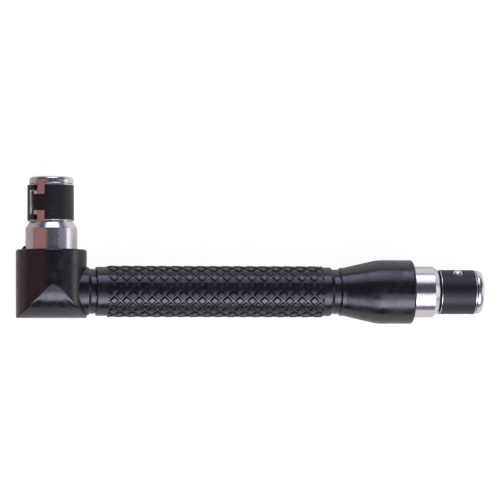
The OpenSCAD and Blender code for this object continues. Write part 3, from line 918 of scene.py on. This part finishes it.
def bare_edges(mesh, to_holder, middle_height, holder):
    """Gives the cut faces round the notch the second material, and the band's rims the third."""
    notch = holder.tongue / 2 + holder.jaw_gap
    slack = 1.5  # degrees that the bevelled edges take up
    for face in mesh.polygons:
        at, facing = to_holder @ face.center, to_holder.to_3x3() @ face.normal
        turn = math.degrees(math.atan2(at.y, at.x)) % 360
        high = abs(at.z - middle_height)
        round_notch = (NOTCH_FLOOR - BURR_WIDTH < turn < JAW_END + slack
                       and high < notch + 0.1 * MM)
        on_its_edge = turn < NOTCH_FLOOR + slack or high > notch - 0.2 * MM
        sideways = abs(facing.dot(Vector((at.x, at.y, 0)).normalized())) < 0.97
        if round_notch and on_its_edge and sideways:
            face.material_index = 1
        if high > holder.band_length / 2 - holder.bare_rim and abs(facing.z) < 0.9:
            face.material_index = 2


class DRIVER_OT_bands(bpy.types.Operator):
    """Build the two split spring bands"""
    bl_idname = "driver.bands"
    bl_label = "Spring Bands"

    def execute(self, context):
        holder = context.scene.driver_holder
        for side in ("angled", "straight"):
            placing, middle_height = placing_holder(side), band_middle(holder, side)
            if side == "angled":
                placing = Matrix.Translation((-holder.angled_lean, 0, 0)) @ placing
            band = piece(side + "_spring_band", band_parts(holder, side), placing, OXIDE)
            bm = bmesh.new()
            bm.from_mesh(band.data)
            edges = [e for e in bm.edges if e.is_manifold and e.calc_face_angle() > CUT_ANGLE]
            bmesh.ops.bevel(bm, geom=edges, offset=BAND_EDGE, segments=2, profile=0.5,
                            affect="EDGES", clamp_overlap=True)
            bm.to_mesh(band.data)
            bm.free()
            shade(band.data, BAND_SHARP_ANGLE)
            band.data.materials.append(material_named("sheared_spring_steel"))
            band.data.materials.append(material_named("rubbed_bright_spring_steel"))
            bare_edges(band.data, placing.inverted(), middle_height, holder)
            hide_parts(side + "_band")
            inner_radius = getattr(holder, side + "_band") - holder.band_wall
            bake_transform(band)
        return {"FINISHED"}


class DRIVER_OT_inner(bpy.types.Operator):
    """Finish the balls and the rod, which keep their plain shapes"""
    bl_idname = "driver.inner"
    bl_label = "Balls and Rod"

    def execute(self, context):
        for name, finish in (("angled_ball", "polished_bearing_steel"),
                             ("straight_ball", "polished_bearing_steel"),
                             ("core_rod", "cold_drawn_steel")):
            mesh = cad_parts[name].data
            mesh.materials.clear()
            mesh.materials.append(material_named(finish))
        return {"FINISHED"}


# ---- studio ----

TABLE_REACH = 3.0  # from its middle to each edge, in metres
TABLE_DROP = 0.02 * MM  # keeps the table's surface clear of the tool's
# Painted light and shade on the paper: darker and warm up to PAPER_WARM, pale with a glow from
# PAPER_PALE
PAPER_WARM, PAPER_PALE = -0.075, -0.045  # along X: warm up to one, pale and glowing from the other

IMAGE_WIDTH, SENSOR_WIDTH = 500, 36  # pixels, millimetres
FOCAL_PIXELS = 3200  # focal length as a number of the image's pixels
YAW, PITCH, ROLL = math.radians(7), math.radians(2.5), math.radians(0.22)
CAMERA_DISTANCE = 0.8243
AIM = Vector((51.16 * MM, 10.74 * MM, 0))  # from the crossing to the middle of the view

# Softboxes: name, angle from overhead towards the far side, angle from overhead towards the
# straight end, angular height and width, brightness as seen in a mirror, colour
SOFTBOXES = (
    ("far_softbox", 61, 0, 38, 40, 2.0, "#DEDCFF"),
    ("far_core", 68, 0, 20, 40, 1.2, "#DEDCFF"),
    ("near_softbox", -35.5, 19, 47, 38, 1.8, "#EEECFF"),
    ("near_core", -46.5, 4, 29, 54, 3.6, "#ECEAFF"),
    ("end_softbox", 0, 78.69, 30, 20, 1.4, "#FFFFFF"),
    ("side_fill", 0, 51, 34, 42, 0.25, "#E6E0FF"),
)
# The warm card stands close to the hub, so the grip hardly reflects it
WARM_CARD = ("warm_card", 0, -54, 34, 62, 0.34, "#FFA09A", 0.14)
LAMP_DISTANCE = 1.3


def softbox(name, far, end, tall, wide, strength, code, distance=LAMP_DISTANCE):
    """A rectangular lamp whose sides subtend the given angles at the tool."""
    lamp = bpy.data.lights.new(name, "AREA")
    lamp.shape = "RECTANGLE"
    lamp.size = 2 * distance * math.tan(math.radians(wide / 2))
    lamp.size_y = 2 * distance * math.tan(math.radians(tall / 2))
    lamp.color = linear(code)[:3]
    lamp.energy = strength * math.pi * lamp.size * lamp.size_y
    obj = bpy.data.objects.new(name, lamp)
    z = Vector((math.tan(math.radians(end)), math.tan(math.radians(far)), 1)).normalized()
    obj.location = z * distance
    x = Vector((1, 0, 0)) if abs(end) < 45 else Vector((0, 0, -1))
    aim_along(obj, z, x)
    obj.visible_camera = False
    bpy.context.scene.collection.objects.link(obj)
    return obj


def aim_along(obj, z, x, roll=0.0):
    """Turns a lamp or a camera to look back along z, with x across as far as it can be."""
    x = (x - z * x.dot(z)).normalized()
    x = Matrix.Rotation(roll, 3, z) @ x
    obj.rotation_euler = Matrix((x, z.cross(x), z)).transposed().to_euler()


def emptied(owner):
    """The node tree of a world or material, without its first nodes."""
    owner.use_nodes = True
    owner.node_tree.nodes.clear()
    return owner.node_tree


def white_paper():
    """A sweep of uncoated white paper."""
    # The camera sees it evenly lit, just short of white, with the tool's shadow. For light and
    # reflections it is pale and glows a little, painted light that stands in for a lit sweep, and
    # past the hub it is darker and warmer without the glow, painted shade
    material = bpy.data.materials.new("white_paper_sweep")
    tree = emptied(material)
    seen = add(tree, "LightPath").outputs["Is Camera Ray"]
    where = add(tree, "TexCoord").outputs["Object"]
    along = add(tree, "SeparateXYZ", where)
    # Painted shade: the paper is darker and warmer past the hub
    grade = add(tree, "MapRange", along, From_Min=PAPER_WARM, From_Max=PAPER_PALE)
    tint = add(tree, "Mix", grade, data_type="RGBA",
               A=linear("#D8C9B4"), B=linear("#F2F0E4"))
    paper = add(tree, "BsdfDiffuse", tint)
    # Painted light: the glow that lights the tool and shows in its reflections fades out past the
    # hub
    fade = add(tree, "MapRange", along, From_Min=PAPER_WARM, From_Max=PAPER_PALE,
               To_Max=0.26)
    glow = add(tree, "Emission", {"Strength": fade}, Color=linear("#FFF6ED"))
    to_tool = add(tree, "AddShader", {0: paper, 1: glow})
    shadow = add(tree, "BsdfDiffuse", Color=(0.22, 0.22, 0.22, 1))
    white = add(tree, "Emission", Color=(1, 1, 1, 1), Strength=0.93)
    to_camera = add(tree, "AddShader", {0: shadow, 1: white})
    mix = add(tree, "MixShader", {0: seen, 1: to_tool, 2: to_camera})
    add(tree, "OutputMaterial", mix)
    return material


class DRIVER_OT_stage(bpy.types.Operator):
    """Build the pale table, the white surround, the softboxes and the camera"""
    bl_idname = "driver.stage"
    bl_label = "Studio"

    def execute(self, context):
        scene = context.scene
        scene.view_settings.view_transform = "Standard"
        scene.world = bpy.data.worlds.new("studio")
        tree = emptied(scene.world)
        seen = add(tree, "LightPath").outputs["Is Camera Ray"]
        dim = add(tree, "Background", Color=linear("#4C4B50"), Strength=1.0)
        white = add(tree, "Background", Color=(1, 1, 1, 1), Strength=1.0)
        mix = add(tree, "MixShader", {0: seen, 1: dim, 2: white})
        add(tree, "OutputWorld", mix)

        mesh = bpy.data.meshes.new("table_top")
        r = TABLE_REACH
        mesh.from_pydata([(-r, -r, 0), (r, -r, 0), (r, r, 0), (-r, r, 0)], [], [(0, 1, 2, 3)])
        mesh.materials.append(white_paper())
        table = bpy.data.objects.new("table_top", mesh)
        scene.collection.objects.link(table)
        table.location.z = -TABLE_DROP

        for box in SOFTBOXES:
            softbox(*box)
        hub_face = CROSSING + Vector((0, scene.driver_head.hub_top, 0))
        softbox(*WARM_CARD).location += hub_face

        camera = bpy.data.cameras.new("camera")
        camera.sensor_width = SENSOR_WIDTH
        camera.lens = SENSOR_WIDTH * FOCAL_PIXELS / IMAGE_WIDTH
        camera.clip_start, camera.clip_end = 0.01, 20
        obj = bpy.data.objects.new("camera", camera)
        scene.collection.objects.link(obj)
        back = Vector((
            -math.sin(YAW), -math.sin(PITCH) * math.cos(YAW), math.cos(PITCH) * math.cos(YAW),
        ))
        obj.location = CROSSING + AIM + back * CAMERA_DISTANCE
        aim_along(obj, back, Vector((1, 0, 0)), ROLL)
        scene.camera = obj
        return {"FINISHED"}


class DRIVER_PT_panel(bpy.types.Panel):
    """Lists the pieces of the offset screwdriver"""
    bl_idname = "DRIVER_PT_panel"
    bl_label = "Offset Screwdriver"
    bl_space_type = "VIEW_3D"
    bl_region_type = "UI"
    bl_category = "Driver"

    def draw(self, context):
        for operator in STEPS:
            self.layout.operator(operator.bl_idname)


STEPS = (
    DRIVER_OT_head, DRIVER_OT_grip, DRIVER_OT_bell, DRIVER_OT_holders, DRIVER_OT_bands,
    DRIVER_OT_inner, DRIVER_OT_stage,
)


def register():
    for name, group in GROUPS.items():
        bpy.utils.register_class(group)
        setattr(bpy.types.Scene, name, PointerProperty(type=group))
    for cls in (*STEPS, DRIVER_PT_panel):
        bpy.utils.register_class(cls)


def unregister():
    for cls in (DRIVER_PT_panel, *reversed(STEPS)):
        bpy.utils.unregister_class(cls)
    for name, group in GROUPS.items():
        delattr(bpy.types.Scene, name)
        bpy.utils.unregister_class(group)


def main():
    register()
    bpy.ops.driver.head()
    bpy.ops.driver.grip()
    bpy.ops.driver.bell()
    bpy.ops.driver.holders()
    bpy.ops.driver.bands()
    bpy.ops.driver.inner()
    bpy.ops.driver.stage()


if __name__ == "__main__":
    main()
